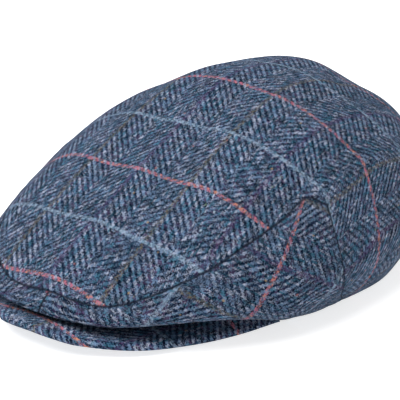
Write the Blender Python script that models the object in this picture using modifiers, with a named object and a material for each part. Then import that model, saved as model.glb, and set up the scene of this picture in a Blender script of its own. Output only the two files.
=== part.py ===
import functools
import math

import bpy
import bmesh
from mathutils import Vector

# Crown, in metres. The front of the cap faces -Y and its left side is at +X.
CROWN_WIDTH = 0.208
CROWN_HEIGHT = 0.1135
WIDEST_TO_FRONT = 0.1198
WIDEST_TO_BACK = 0.1452
WIDEST_TO_SUMMIT = 0.0563
FRONT_SQUARENESS = 1.93
BACK_SQUARENESS = 2.49

# Opening for the head
HEAD_WIDTH = 0.166
HEAD_LENGTH = 0.202
BACK_OVERHANG = 0.0077
FRONT_RIM_LIFT = 0.0115

# Peak
PEAK_WIDTH = 0.1504
PEAK_DEPTH = 0.1038
PEAK_PAST_LIP = 0.006
PEAK_ARCH = 0.0086
PEAK_THICKNESS = 0.0042
PEAK_EDGE_ROUNDING = 0.0011
PEAK_CORNER_AROUND = 67.0

# Cloth and seams
CLOTH_THICKNESS = 0.002
SEAM_GAP = 0.0009
PEAK_SEAM_GAP = 0.0004
UPRIGHT_SEAM_TOP = 83.0
UPRIGHT_SEAM_RIM = 93.0

# Softness of the summit, as shares of the way down to the lip, and of the bends
SUMMIT_SOFT_SHARE = 0.22
SUMMIT_FULLNESS = 1.6
SUMMIT_REACH_SHARE = 0.4
LIP_ROUNDING = 0.006

# How finely the cages are divided
SIDE_COLUMNS = (0.0, 0.16, 0.32, 0.47, 0.61, 0.74, 0.85, 0.93, 1.0)
BACK_COLUMNS = 8
TOP_ROWS = (0.1, 0.25, 0.42, 0.6, 0.77, 0.9, 0.965, 1.0)
WALL_ROWS = (0.0, 0.07, 0.15, 0.25, 0.37, 0.54, 0.75, 1.0)
PEAK_ROWS = (0.0, 0.33, 0.67, 1.0)
PEAK_TURNS = (0.0, 0.14, 0.28, 0.43, 0.58, 0.73, 0.87, 1.0)

# One row for each place around the crown, from the centre front to the centre
# back. Heights are shares of the crown's height, the seam's rise is a share of
# what lies above the lip, and the rim's lift is a share of the lift at the front.
# Hem is the share of the way from the head opening to the lip by which the cloth
# hangs out at the rim.
STATION_COLUMNS = ("around", "lip_height", "fullness", "tuck", "seam_rise", "rim_lift", "hem")
STATIONS = (
    (0.0, 0.137, 1.1, 2.79, 0.079, 1.0, 0.0),
    (22.5, 0.135, 1.13, 2.79, 0.074, 0.96, 0.0),
    (45.0, 0.211, 1.25, 2.93, 0.149, 0.88, 0.164),
    (56.25, 0.215, 1.34, 3.17, 0.246, 0.723, 0.145),
    (67.5, 0.224, 1.45, 2.63, 0.332, 0.158, 0.186),
    (76.0, 0.26, 1.53, 2.0, 0.388, 0.01, 0.145),
    (83.0, 0.268, 1.58, 1.8, 0.335, 0.0, 0.13),
    (97.0, 0.285, 1.67, 1.8, 0.33, 0.0, 0.03),
    (112.5, 0.302, 1.77, 1.76, 0.32, 0.0, 0.14),
    (135.0, 0.33, 1.93, 1.8, 0.31, 0.0, 0.228),
    (157.5, 0.38, 2.1, 1.8, 0.3, 0.0, 0.11),
    (180.0, 0.402, 2.2, 1.8, 0.3, 0.0, 0.0),
)

# One row for each place along the peak's outer edge, from the tip to a corner.
# Across is a share of half its width, back of its depth, lift of its arch and
# board of its thickness.
PEAK_COLUMNS_NAMED = ("turn", "across", "back", "lift", "board")
PEAK_EDGE = (
    (0.0, 0.0, 0.0, 1.0, 1.0),
    (0.1, 0.189, 0.011, 0.91, 1.0),
    (0.2, 0.36, 0.064, 0.65, 1.0),
    (0.4, 0.652, 0.235, 0.357, 1.0),
    (0.6, 0.833, 0.479, 0.146, 0.9),
    (0.8, 0.936, 0.73, 0.02, 0.62),
    (1.0, 1.0, 1.0, 0.0, 0.18),
)

# Soft dents in the cloth, and swells where the depth is negative. Around is in
# degrees towards the left side, and a dent with both set to 1 is on either side.
# Depth is a share of the crown's height, and down and spread_down run from 0 at
# the summit over 1 at the lip to 2 at the rim.
DENT_COLUMNS = ("around", "down", "depth", "spread_around", "spread_down", "both")
DENTS = (
    (93.0, 0.86, 0.026, 7.0, 0.12, 1),
    (136.0, 0.55, 0.06, 24.0, 0.17, 1),
    (70.0, 0.8, 0.008, 16.0, 0.07, 1),
    (-56.0, 0.97, -0.02, 24.0, 0.26, 0),
    (-36.0, 1.1, -0.04, 20.0, 0.37, 0),
    (-78.0, 0.74, 0.019, 16.0, 0.14, 0),
    (-86.0, 0.5, 0.036, 26.0, 0.16, 0),
    (-105.0, 0.34, 0.037, 34.0, 0.14, 0),
    (-150.0, 0.3, 0.006, 30.0, 0.14, 0),
    (160.0, 0.68, 0.042, 13.0, 0.16, 0),
    (150.0, 0.95, -0.028, 14.0, 0.14, 0),
)

MIDLINE = 0.5 * (WIDEST_TO_FRONT + PEAK_PAST_LIP - WIDEST_TO_BACK)
SUMMIT_Y = MIDLINE + WIDEST_TO_SUMMIT
LIP_FRONT_Y = MIDLINE - WIDEST_TO_FRONT
HEAD_Y = MIDLINE + WIDEST_TO_BACK - BACK_OVERHANG - 0.5 * HEAD_LENGTH
PEAK_TIP_Y = LIP_FRONT_Y - PEAK_PAST_LIP


def clear_scene():
    for item in list(bpy.data.objects):
        bpy.data.objects.remove(item, do_unlink=True)


def smooth_value(rows, column, place, mirrored_end):
    # smooth value between the rows of a table that is mirrored at its start
    places = [row[0] for row in rows]
    values = [row[column] for row in rows]
    i = 0
    while i < len(places) - 2 and place > places[i + 1]:
        i += 1
    span = places[i + 1] - places[i]
    share = (place - places[i]) / span
    rise = values[i + 1] - values[i]
    slope_in = 0.0
    if i > 0:
        slope_in = (values[i + 1] - values[i - 1]) / (places[i + 1] - places[i - 1]) * span
    slope_out = 0.0 if mirrored_end else rise
    if i + 2 < len(places):
        slope_out = (values[i + 2] - values[i]) / (places[i + 2] - places[i]) * span
    curve = 3.0 * rise - 2.0 * slope_in - slope_out
    bend = slope_in + slope_out - 2.0 * rise
    return values[i] + share * (slope_in + share * (curve + share * bend))


def station_value(name, around):
    # a value of the crown at an angle, the same on both sides
    side = abs((around + 180.0) % 360.0 - 180.0)
    return smooth_value(STATIONS, STATION_COLUMNS.index(name), side, True)


def lip_point(around):
    # plan of the crown: an egg of two half superellipses
    angle = math.radians(around)
    forward = math.cos(angle)
    squareness = FRONT_SQUARENESS if forward > 0.0 else BACK_SQUARENESS
    reach = WIDEST_TO_FRONT if forward > 0.0 else WIDEST_TO_BACK
    across = abs(math.sin(angle)) ** (2.0 / squareness) * 0.5 * CROWN_WIDTH
    along = abs(forward) ** (2.0 / squareness) * reach
    x = math.copysign(across, math.sin(angle))
    y = MIDLINE - math.copysign(along, forward)
    return x, y


def rim_point(around):
    # where the line from the summit to the lip crosses the head opening, or a
    # little further out where the cloth hangs loose
    lip_x, lip_y = lip_point(around)
    step_x = lip_x
    step_y = lip_y - SUMMIT_Y
    offset = SUMMIT_Y - HEAD_Y
    a = (step_x / (0.5 * HEAD_WIDTH)) ** 2 + (step_y / (0.5 * HEAD_LENGTH)) ** 2
    b = 2.0 * step_y * offset / (0.5 * HEAD_LENGTH) ** 2
    c = (offset / (0.5 * HEAD_LENGTH)) ** 2 - 1.0
    share = (-b + math.sqrt(b * b - 4.0 * a * c)) / (2.0 * a)
    share += (1.0 - share) * station_value("hem", around)
    return step_x * share, SUMMIT_Y + step_y * share


def rim_height(around):
    return max(FRONT_RIM_LIFT * station_value("rim_lift", around), 0.0)


def dent_depth(around, down):
    turned = (around + 180.0) % 360.0 - 180.0
    depth = 0.0
    for angle, level, share, wide, tall, both in DENTS:
        place = abs(turned) if both else turned
        off = (place - angle + 180.0) % 360.0 - 180.0
        far = (off / wide) ** 2 + ((down - level) / tall) ** 2
        depth += share * CROWN_HEIGHT * math.exp(-far)
    return depth


def crown_point(around, down):
    # down is 0 at the summit, 1 at the lip and 2 at the rim
    lip_x, lip_y = lip_point(around)
    lip_height = CROWN_HEIGHT * station_value("lip_height", around)
    inward = Vector((-lip_x, SUMMIT_Y - lip_y, 0.0)).normalized()
    if down <= 1.0:
        near = min(down / SUMMIT_REACH_SHARE, 1.0)
        near = near * near * (3.0 - 2.0 * near)
        fullness = station_value("fullness", around)
        fullness = SUMMIT_FULLNESS + (fullness - SUMMIT_FULLNESS) * near
        soft = math.hypot(down, SUMMIT_SOFT_SHARE) - SUMMIT_SOFT_SHARE
        soft = min(soft / (math.hypot(1.0, SUMMIT_SOFT_SHARE) - SUMMIT_SOFT_SHARE), 1.0)
        rise = (1.0 - soft ** fullness) ** (1.0 / fullness)
        x = lip_x * down
        y = SUMMIT_Y + (lip_y - SUMMIT_Y) * down
        z = lip_height + (CROWN_HEIGHT - lip_height) * rise
    else:
        below = min(down, 2.0) - 1.0
        rim_x, rim_y = rim_point(around)
        tuck = below ** station_value("tuck", around)
        x = lip_x + (rim_x - lip_x) * tuck
        y = lip_y + (rim_y - lip_y) * tuck
        z = lip_height + (rim_height(around) - lip_height) * below
    dent = dent_depth(around, down)
    steep = min(down, 1.0) ** 2
    return Vector((x, y, z)) + dent * (steep * inward - (1.0 - steep) * Vector((0.0, 0.0, 1.0)))


def seam_level(around):
    # the seam between the top panel and the side panels
    fullness = station_value("fullness", around)
    rise = max(station_value("seam_rise", around), 0.0)
    return (1.0 - rise ** fullness) ** (1.0 / fullness)


@functools.lru_cache(maxsize=None)
def crown_profile(around, count=121):
    # levels, points and lengths down the cloth, from the summit to the rim
    levels = [2.0 * i / (count - 1) for i in range(count)]
    points = [crown_point(around, level) for level in levels]
    lengths = [0.0]
    for i in range(1, count):
        lengths.append(lengths[-1] + (points[i] - points[i - 1]).length)
    return levels, points, lengths


def place_in(values, target):
    # step and share at which a rising list reaches a value
    i = 1
    while i < len(values) - 1 and values[i] < target:
        i += 1
    share = (target - values[i - 1]) / (values[i] - values[i - 1])
    return i, min(max(share, 0.0), 1.0)


def point_at(around, length):
    points, lengths = crown_profile(around)[1:]
    i, share = place_in(lengths, length)
    return points[i - 1].lerp(points[i], share)


def cloth_point(around, length):
    # the cloth rounds every bend of the profile off a little
    total = crown_profile(around)[2][-1]
    reach = max(min(LIP_ROUNDING, length, total - length), 0.0)
    near = point_at(around, length - reach) + point_at(around, length + reach)
    return 0.25 * near + 0.5 * point_at(around, length)


def seam_length(around):
    # length from the summit down to the seam under the top panel
    levels, points, lengths = crown_profile(around)
    i, share = place_in(levels, seam_level(around))
    return lengths[i - 1] + share * (lengths[i] - lengths[i - 1])


def top_point(around, share, gap):
    return cloth_point(around, share * (seam_length(around) - gap))


def upright_seam(share):
    # angle of the upright seam, which leans back on its way to the rim
    return UPRIGHT_SEAM_TOP + (UPRIGHT_SEAM_RIM - UPRIGHT_SEAM_TOP) * share ** 1.5


def wall_point(around, share, gap):
    # share runs from the seam to the rim along the cloth
    start = seam_length(around) + gap
    total = crown_profile(around)[2][-1]
    return cloth_point(around, start + share * (total - start))


def stand_off(grid, closed, held_rows=(), held_ends=()):
    # move a cage out by as much as subdivision will draw it in
    rows = len(grid)
    columns = len(grid[0])
    placed = []
    for i in range(rows):
        line = []
        for j in range(columns):
            point = grid[i][j]
            pull = Vector((0.0, 0.0, 0.0))
            corner = i == rows - 1 and j in held_ends
            if not corner and (closed or 0 < j < columns - 1):
                left = grid[i][j - 1]
                right = grid[i][(j + 1) % columns]
                pull += (2.0 * point - left - right) / 6.0
            if i not in held_rows and 0 < i < rows - 1:
                pull += (2.0 * point - grid[i - 1][j] - grid[i + 1][j]) / 6.0
            moved = point + pull
            moved.z = max(moved.z, 0.0)
            line.append(moved)
        placed.append(line)
    return placed


def add_grid(mesh, grid, closed, flip):
    verts = [[mesh.verts.new(point) for point in row] for row in grid]
    add_faces(mesh, verts, closed, flip)
    return verts


def add_faces(mesh, verts, closed, flip):
    columns = len(verts[0])
    last = columns if closed else columns - 1
    for i in range(len(verts) - 1):
        for j in range(last):
            k = (j + 1) % columns
            corners = [verts[i][j], verts[i + 1][j], verts[i + 1][k], verts[i][k]]
            mesh.faces.new(corners[::-1] if flip else corners)


def new_cage():
    # a mesh with a layer that keeps chosen corners sharp
    mesh = bmesh.new()
    mesh.verts.layers.float.new("crease_vert")
    return mesh


def hold_corners(mesh, corners):
    layer = mesh.verts.layers.float["crease_vert"]
    for corner in corners:
        corner[layer] = 1.0


def make_object(name, mesh, material, collection):
    data = bpy.data.meshes.new(name)
    mesh.to_mesh(data)
    mesh.free()
    data.materials.append(material)
    data.shade_smooth()
    item = bpy.data.objects.new(name, data)
    collection.objects.link(item)
    return item


def add_subdivision(item):
    soft = item.modifiers.new("Soft form", "SUBSURF")
    soft.levels = 1
    soft.render_levels = 1
    soft.boundary_smooth = "ALL"


def add_thickness(item, thickness, offset):
    shell = item.modifiers.new("Thickness", "SOLIDIFY")
    shell.thickness = thickness
    shell.offset = offset
    shell.use_even_offset = False


def tweed_material(name, color):
    material = bpy.data.materials.new(name)
    material.use_nodes = True
    shader = material.node_tree.nodes["Principled BSDF"]
    shader.inputs["Base Color"].default_value = (*color, 1.0)
    shader.inputs["Roughness"].default_value = 0.95
    shader.inputs["Metallic"].default_value = 0.0
    material.diffuse_color = (*color, 1.0)
    return material


def side_angles(share):
    # angles of one side panel's columns, from the centre front to the upright seam
    return [upright_seam(share) * column for column in SIDE_COLUMNS]


def back_angles(share):
    # angles from one upright seam to the other, round the back
    start = upright_seam(share)
    steps = 2 * BACK_COLUMNS
    return [start + (360.0 - 2.0 * start) * i / steps for i in range(steps + 1)]


def degrees_for(distance, around):
    # angle that moves a point of the lip by a distance
    near = Vector(lip_point(around - 0.5))
    far = Vector(lip_point(around + 0.5))
    return distance / (far - near).length


def build_crown_top(collection):
    half_gap = 0.5 * SEAM_GAP
    side = side_angles(0.0)[:-1]
    angles = side + back_angles(0.0) + [360.0 - angle for angle in side[:0:-1]]
    first = len(side)
    last = first + 2 * BACK_COLUMNS
    disc = []
    for share in TOP_ROWS:
        row = []
        for j, angle in enumerate(angles):
            if share == 1.0 and j == first:
                angle += degrees_for(half_gap, angle)
            if share == 1.0 and j == last:
                angle -= degrees_for(half_gap, angle)
            gap = 0.0 if first < j < last else half_gap
            row.append(top_point(angle, share, gap))
        disc.append(row)
    disc = stand_off(disc, True, (0,), (first, last))
    skirt = []
    for share in WALL_ROWS:
        skirt_angles = back_angles(share)
        skirt_angles[0] += degrees_for(half_gap, skirt_angles[0])
        skirt_angles[-1] -= degrees_for(half_gap, skirt_angles[-1])
        skirt.append([wall_point(angle, share, 0.0) for angle in skirt_angles])
    skirt = stand_off(skirt, False)
    mesh = new_cage()
    disc_verts = add_grid(mesh, disc, True, False)
    summit = mesh.verts.new(crown_point(0.0, 0.0))
    for j in range(len(angles)):
        k = (j + 1) % len(angles)
        mesh.faces.new((summit, disc_verts[0][j], disc_verts[0][k]))
    skirt_verts = [disc_verts[-1][first:last + 1]]
    for row in skirt[1:]:
        skirt_verts.append([mesh.verts.new(point) for point in row])
    add_faces(mesh, skirt_verts, False, False)
    hold_corners(mesh, (skirt_verts[-1][0], skirt_verts[-1][-1]))
    material = tweed_material("Top panel tweed", (0.078, 0.116, 0.173))
    item = make_object("crown_top", mesh, material, collection)
    add_subdivision(item)
    add_thickness(item, CLOTH_THICKNESS, -1.0)


def build_side_panel(collection, name, side):
    half_gap = 0.5 * SEAM_GAP
    grid = []
    for share in WALL_ROWS:
        panel_angles = side_angles(share)
        panel_angles[0] += degrees_for(half_gap, 1.0)
        panel_angles[-1] -= degrees_for(half_gap, panel_angles[-1])
        grid.append([wall_point(side * angle, share, half_gap) for angle in panel_angles])
    grid = stand_off(grid, False)
    mesh = new_cage()
    verts = add_grid(mesh, grid, False, side < 0.0)
    hold_corners(mesh, (verts[0][0], verts[-1][0], verts[-1][-1]))
    material = tweed_material(name.replace("_", " ") + " tweed", (0.066, 0.1, 0.152))
    item = make_object(name, mesh, material, collection)
    add_subdivision(item)
    add_thickness(item, CLOTH_THICKNESS, -1.0)


def peak_value(name, turn):
    column = PEAK_COLUMNS_NAMED.index(name)
    return smooth_value(PEAK_EDGE, column, abs(turn), False)


def peak_point(turn, share):
    # underside of the peak: turn runs from -1 to 1 along its edge, share outward
    around = turn * PEAK_CORNER_AROUND
    board = PEAK_THICKNESS * peak_value("board", turn)
    rim_x, rim_y = rim_point(around)
    rim_z = rim_height(around) - PEAK_SEAM_GAP - board
    edge_x = math.copysign(0.5 * PEAK_WIDTH * peak_value("across", turn), turn)
    edge_y = PEAK_TIP_Y + PEAK_DEPTH * peak_value("back", turn)
    edge_z = PEAK_ARCH * peak_value("lift", turn)
    inner = Vector((rim_x, rim_y, max(rim_z, 0.0)))
    outer = Vector((edge_x, edge_y, max(edge_z, 0.0)))
    return inner.lerp(outer, share)


def build_peak(collection):
    turns = [-turn for turn in PEAK_TURNS[:0:-1]] + list(PEAK_TURNS)
    grid = [[peak_point(turn, share) for turn in turns] for share in PEAK_ROWS]
    grid = stand_off(grid, False)
    mesh = new_cage()
    verts = add_grid(mesh, grid, False, False)
    hold_corners(mesh, (verts[0][0], verts[0][-1], verts[-1][0], verts[-1][-1]))
    material = tweed_material("Peak tweed", (0.06, 0.09, 0.138))
    item = make_object("peak", mesh, material, collection)
    board = item.vertex_groups.new(name="Board")
    for index in range(len(item.data.vertices)):
        weight = peak_value("board", turns[index % len(turns)])
        board.add([index], min(weight, 1.0), "REPLACE")
    add_subdivision(item)
    add_thickness(item, PEAK_THICKNESS, 1.0)
    item.modifiers["Thickness"].vertex_group = "Board"
    edge = item.modifiers.new("Rounded edge", "BEVEL")
    edge.width = PEAK_EDGE_ROUNDING
    edge.segments = 2
    edge.limit_method = "ANGLE"
    edge.angle_limit = math.radians(60.0)


def build_cap():
    clear_scene()
    collection = bpy.data.collections.new("touring_cap")
    bpy.context.scene.collection.children.link(collection)
    build_crown_top(collection)
    build_side_panel(collection, "side_panel_left", 1.0)
    build_side_panel(collection, "side_panel_right", -1.0)
    build_peak(collection)


build_cap()
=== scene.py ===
import math

import bpy
import numpy as np
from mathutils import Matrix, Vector


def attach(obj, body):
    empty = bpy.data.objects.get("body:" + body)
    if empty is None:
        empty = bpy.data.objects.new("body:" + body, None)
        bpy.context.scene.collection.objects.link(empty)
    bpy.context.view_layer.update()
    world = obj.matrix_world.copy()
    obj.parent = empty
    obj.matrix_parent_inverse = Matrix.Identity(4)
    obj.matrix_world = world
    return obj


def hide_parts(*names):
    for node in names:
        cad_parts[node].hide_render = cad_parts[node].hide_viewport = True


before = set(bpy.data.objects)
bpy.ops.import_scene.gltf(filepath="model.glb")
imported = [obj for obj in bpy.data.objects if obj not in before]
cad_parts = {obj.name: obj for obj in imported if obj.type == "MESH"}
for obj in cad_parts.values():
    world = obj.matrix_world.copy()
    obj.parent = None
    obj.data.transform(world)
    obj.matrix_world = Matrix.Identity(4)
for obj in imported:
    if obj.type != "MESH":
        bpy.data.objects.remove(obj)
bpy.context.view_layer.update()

# camera

cameraView = {
    "azimuth": 39.4,      # degrees from the front towards the wearer's left
    "elevation": 16.9,
    "distance": 0.7,      # metres from the target
    "target": (0.0, 0.001, 0.045),
    "lens": 113.9,
    "shift": (-0.01625, -0.01125),
}


def addObject(name, data):
    item = bpy.data.objects.new(name, data)
    bpy.context.scene.collection.objects.link(item)
    return item


def direction(azimuth, elevation):
    turn, rise = math.radians(azimuth), math.radians(elevation)
    return Vector((math.sin(turn) * math.cos(rise), -math.cos(turn) * math.cos(rise), math.sin(rise)))


def addFacing(name, data, away):
    # a camera or lamp that looks back along this direction
    item = addObject(name, data)
    item.rotation_mode = "QUATERNION"
    item.rotation_quaternion = (-away).to_track_quat("-Z", "Y")
    return item


def makeCamera(view):
    away = direction(view["azimuth"], view["elevation"])
    data = bpy.data.cameras.new("photoCamera")
    data.lens = view["lens"]
    data.sensor_width = 36.0
    data.shift_x, data.shift_y = view["shift"]
    data.clip_start = 0.01
    data.clip_end = 20.0
    data.dof.use_dof = False
    camera = addFacing("photoCamera", data, away)
    camera.location = Vector(view["target"]) + away * view["distance"]
    bpy.context.scene.camera = camera


makeCamera(cameraView)
print("camera ready")

# the crown's form: an egg in plan that rises to a soft summit and tucks under to the rim

crown = {
    "width": 0.208,
    "height": 0.1135,
    "toFront": 0.1198,      # from the widest line to the front
    "toBack": 0.1452,
    "toSummit": 0.0563,
    "frontPower": 1.93,     # how square the plan is
    "backPower": 2.49,
    "softShare": 0.22,      # how flat the summit is
    "summitFullness": 1.6,  # and how full, up to this share of the way to the lip
    "summitReach": 0.4,
    "rounding": 0.006,      # length of cloth that softens a turn
}
opening = {"width": 0.166, "length": 0.202, "overhang": 0.0077, "frontLift": 0.0115}
peakPastLip = 0.006
seamTop = 83.0    # angle of the upright seam at its top and at the rim, and how late it turns
seamRim = 93.0
seamBend = 1.5

# around, lip height, fullness, tuck, seam rise, rim lift, how far the hem hangs out of the opening
stations = np.array([
    (0.0, 0.137, 1.1, 2.79, 0.079, 1.0, 0.0),
    (22.5, 0.135, 1.13, 2.79, 0.074, 0.96, 0.0),
    (45.0, 0.211, 1.25, 2.93, 0.149, 0.88, 0.164),
    (56.25, 0.215, 1.34, 3.17, 0.246, 0.723, 0.145),
    (67.5, 0.224, 1.45, 2.63, 0.332, 0.158, 0.186),
    (76.0, 0.26, 1.53, 2.0, 0.388, 0.01, 0.145),
    (83.0, 0.268, 1.58, 1.8, 0.335, 0.0, 0.13),
    (97.0, 0.285, 1.67, 1.8, 0.33, 0.0, 0.03),
    (112.5, 0.302, 1.77, 1.76, 0.32, 0.0, 0.14),
    (135.0, 0.33, 1.93, 1.8, 0.31, 0.0, 0.228),
    (157.5, 0.38, 2.1, 1.8, 0.3, 0.0, 0.11),
    (180.0, 0.402, 2.2, 1.8, 0.3, 0.0, 0.0),
])
lipColumn, fullColumn, tuckColumn, seamColumn, rimColumn, hemColumn = 1, 2, 3, 4, 5, 6

# around, down, depth as a share of the height, spread around, spread down, on both sides
dents = [
    (93.0, 0.86, 0.026, 7.0, 0.12, 1),
    (136.0, 0.55, 0.06, 24.0, 0.17, 1),
    (70.0, 0.8, 0.008, 16.0, 0.07, 1),
    (-56.0, 0.97, -0.02, 24.0, 0.26, 0),
    (-36.0, 1.1, -0.04, 20.0, 0.37, 0),
    (-78.0, 0.74, 0.019, 16.0, 0.14, 0),
    (-86.0, 0.5, 0.036, 26.0, 0.16, 0),
    (-105.0, 0.34, 0.037, 34.0, 0.14, 0),
    (-150.0, 0.3, 0.006, 30.0, 0.14, 0),
    (160.0, 0.68, 0.042, 13.0, 0.16, 0),
    (150.0, 0.95, -0.028, 14.0, 0.14, 0),
]

# how many places are worked out where a cloth length or a seam is measured
samples = {"down": 241, "plan": 2881, "middle": 1201, "across": 41, "lip": 1441,
           "topSeam": 900, "uprightSeam": 160}

midline = 0.5 * (crown["toFront"] + peakPastLip - crown["toBack"])
summitY = midline + crown["toSummit"]
lipFrontY = midline - crown["toFront"]
headY = midline + crown["toBack"] - opening["overhang"] - 0.5 * opening["length"]
peakTipY = lipFrontY - peakPastLip


def eased(share):
    share = np.clip(share, 0.0, 1.0)
    return share * share * (3.0 - 2.0 * share)


def smoothValue(rows, column, place, mirroredEnd=True):
    # a soft curve through a table's column, level at its first row
    places, values = rows[:, 0], rows[:, column]
    slopes = np.zeros(len(places))
    slopes[1:-1] = (values[2:] - values[:-2]) / (places[2:] - places[:-2])
    if not mirroredEnd:
        slopes[-1] = (values[-1] - values[-2]) / (places[-1] - places[-2])
    i = np.clip(np.searchsorted(places, place) - 1, 0, len(places) - 2)
    span = places[i + 1] - places[i]
    share = (place - places[i]) / span
    rise = values[i + 1] - values[i]
    slopeIn, slopeOut = slopes[i] * span, slopes[i + 1] * span
    curve = 3.0 * rise - 2.0 * slopeIn - slopeOut
    bend = slopeIn + slopeOut - 2.0 * rise
    return values[i] + share * (slopeIn + share * (curve + share * bend))


def signedAngle(around):
    return (around + 180.0) % 360.0 - 180.0


def foldedAngle(around):
    return np.abs(signedAngle(around))


def stationValue(column, around):
    return smoothValue(stations, column, foldedAngle(around))


def lipPoint(around):
    angle = np.radians(around)
    forward, sideways = np.cos(angle), np.sin(angle)
    power = np.where(forward > 0.0, crown["frontPower"], crown["backPower"])
    reach = np.where(forward > 0.0, crown["toFront"], crown["toBack"])
    across = np.abs(sideways) ** (2.0 / power) * 0.5 * crown["width"]
    along = np.abs(forward) ** (2.0 / power) * reach
    return np.sign(sideways) * across, midline - np.sign(forward) * along


def rimPoint(around):
    # where the line from the summit to the lip passes the opening's oval, and the hem's hang
    lipX, lipY = lipPoint(around)
    stepX, stepY = lipX, lipY - summitY
    halfWide, halfLong = 0.5 * opening["width"], 0.5 * opening["length"]
    offset = summitY - headY
    a = (stepX / halfWide) ** 2 + (stepY / halfLong) ** 2
    b = 2.0 * stepY * offset / halfLong ** 2
    c = (offset / halfLong) ** 2 - 1.0
    share = (-b + np.sqrt(b * b - 4.0 * a * c)) / (2.0 * a)
    share = share + (1.0 - share) * stationValue(hemColumn, around)
    return stepX * share, summitY + stepY * share


def rimHeight(around):
    return np.maximum(opening["frontLift"] * stationValue(rimColumn, around), 0.0)


def riseAt(around, down):
    # height of the top at a share of the way from the summit to the lip
    near = eased(down / crown["summitReach"])
    fullness = stationValue(fullColumn, around)
    fullness = crown["summitFullness"] + (fullness - crown["summitFullness"]) * near
    softShare = crown["softShare"]
    soft = np.hypot(np.clip(down, 0.0, 1.0), softShare) - softShare
    soft = np.minimum(soft / (math.hypot(1.0, softShare) - softShare), 1.0)
    lipHeight = crown["height"] * stationValue(lipColumn, around)
    return lipHeight + (crown["height"] - lipHeight) * (1.0 - soft ** fullness) ** (1.0 / fullness)


def crownPoint(around, down):
    # down is 0 at the summit, 1 at the lip and 2 at the rim
    lipX, lipY = lipPoint(around)
    lipHeight = crown["height"] * stationValue(lipColumn, around)
    inward = np.stack([-lipX, summitY - lipY], -1)
    inward = inward / np.linalg.norm(inward, axis=-1, keepdims=True)
    below = np.clip(down, 1.0, 2.0) - 1.0
    above = np.clip(down, 0.0, 1.0)
    rimX, rimY = rimPoint(around)
    tuck = below ** stationValue(tuckColumn, around)
    x = np.where(down <= 1.0, lipX * above, lipX + (rimX - lipX) * tuck)
    y = np.where(down <= 1.0, summitY + (lipY - summitY) * above, lipY + (rimY - lipY) * tuck)
    z = np.where(down <= 1.0, riseAt(around, above), lipHeight + (rimHeight(around) - lipHeight) * below)
    turned = signedAngle(around)
    dent = np.zeros_like(z)
    for angle, level, share, wide, tall, both in dents:
        off = signedAngle((np.abs(turned) if both else turned) - angle)
        far = (off / wide) ** 2 + ((down - level) / tall) ** 2
        dent = dent + share * crown["height"] * np.exp(-far)
    steep = above ** 2
    x = x + dent * steep * inward[..., 0]
    y = y + dent * steep * inward[..., 1]
    z = z - dent * (1.0 - steep)
    return np.stack([x, y, z], -1)


levels = np.linspace(0.0, 2.0, samples["down"])


def profiles(around):
    # points and cloth lengths from the summit down to the rim, a row for each angle
    around = np.atleast_1d(around).astype(float)
    points = crownPoint(around[:, None] + 0.0 * levels[None, :], levels[None, :] + 0.0 * around[:, None])
    steps = np.linalg.norm(np.diff(points, axis=1), axis=2)
    lengths = np.concatenate([np.zeros((len(around), 1)), np.cumsum(steps, axis=1)], axis=1)
    return points, lengths


def alongProfile(points, lengths, target):
    i = np.clip((lengths < target[:, None]).sum(axis=1), 1, len(levels) - 1)
    rows = np.arange(len(target))
    low, high = lengths[rows, i - 1], lengths[rows, i]
    share = np.clip((target - low) / (high - low), 0.0, 1.0)[:, None]
    return points[rows, i - 1] * (1.0 - share) + points[rows, i] * share


def clothPoint(profile, target):
    # the cloth rounds off the form's sharper turns
    points, lengths = profile
    total = lengths[:, -1]
    reach = np.clip(np.minimum(crown["rounding"], np.minimum(target, total - target)), 0.0, None)
    near = alongProfile(points, lengths, target - reach) + alongProfile(points, lengths, target + reach)
    return 0.25 * near + 0.5 * alongProfile(points, lengths, target)


def lengthAtLevel(profile, level):
    lengths = profile[1]
    place = level / 2.0 * (len(levels) - 1)
    i = np.clip(place.astype(int), 0, len(levels) - 2)
    rows = np.arange(len(place))
    return lengths[rows, i] + (place - i) * (lengths[rows, i + 1] - lengths[rows, i])


def seamLength(around, profile):
    # cloth length from the summit down to the seam round the top
    fullness = stationValue(fullColumn, around)
    rise = np.maximum(stationValue(seamColumn, around), 0.0)
    return lengthAtLevel(profile, (1.0 - rise ** fullness) ** (1.0 / fullness))


def uprightSeam(share):
    return seamTop + (seamRim - seamTop) * share ** seamBend


# how the cloth was cut: a place on the flat cloth, in metres, for each point of the crown

chart = {
    "unit": 0.1,            # the bends and pulls below are metres at this far from the middle
    "bow": -0.03,           # how far the cross stripes bend back
    "crossPull": (0.00435, -0.00266, -0.04106),     # slant, fanning and bend of the cross stripes
    "lengthPull": (-0.00852, 0.00784, 0.00097),     # the same of the lengthwise stripes
    "pullTo": 0.95,         # no more pull past this many units
    "wallLean": 0.03,       # how much the cross stripes lean on the way down the sides
    "backFrom": 108.0,      # where round the crown the steep back begins, and over how many degrees
    "backOver": 20.0,
    "backAbove": 0.3,       # how far above the lip the wall begins there
    "sideTurn": 34.5,       # degrees between the side panel's grain and its lip
    "sideStretch": (0.877, 1.14),   # how the slanting cloth gives, along its grain and across it
    "frontDraw": (0.015, 0.03),     # how far it is drawn forward at the centre front, and how soon that fades
    "lipStep": 0.4,         # degrees to each side where the lip's direction is taken
}

planTurn = np.linspace(-180.0, 180.0, samples["plan"])
planLipX, planLipY = lipPoint(planTurn)
planBearing = np.unwrap(np.arctan2(planLipX, summitY - planLipY))
planReach = np.hypot(planLipX, planLipY - summitY)


def walked(*line):
    # how far along a line of points each one is, from the line's x, y and so on
    steps = np.linalg.norm(np.diff(np.stack(line)), axis=0)
    return np.concatenate([[0.0], np.cumsum(steps)])


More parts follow.
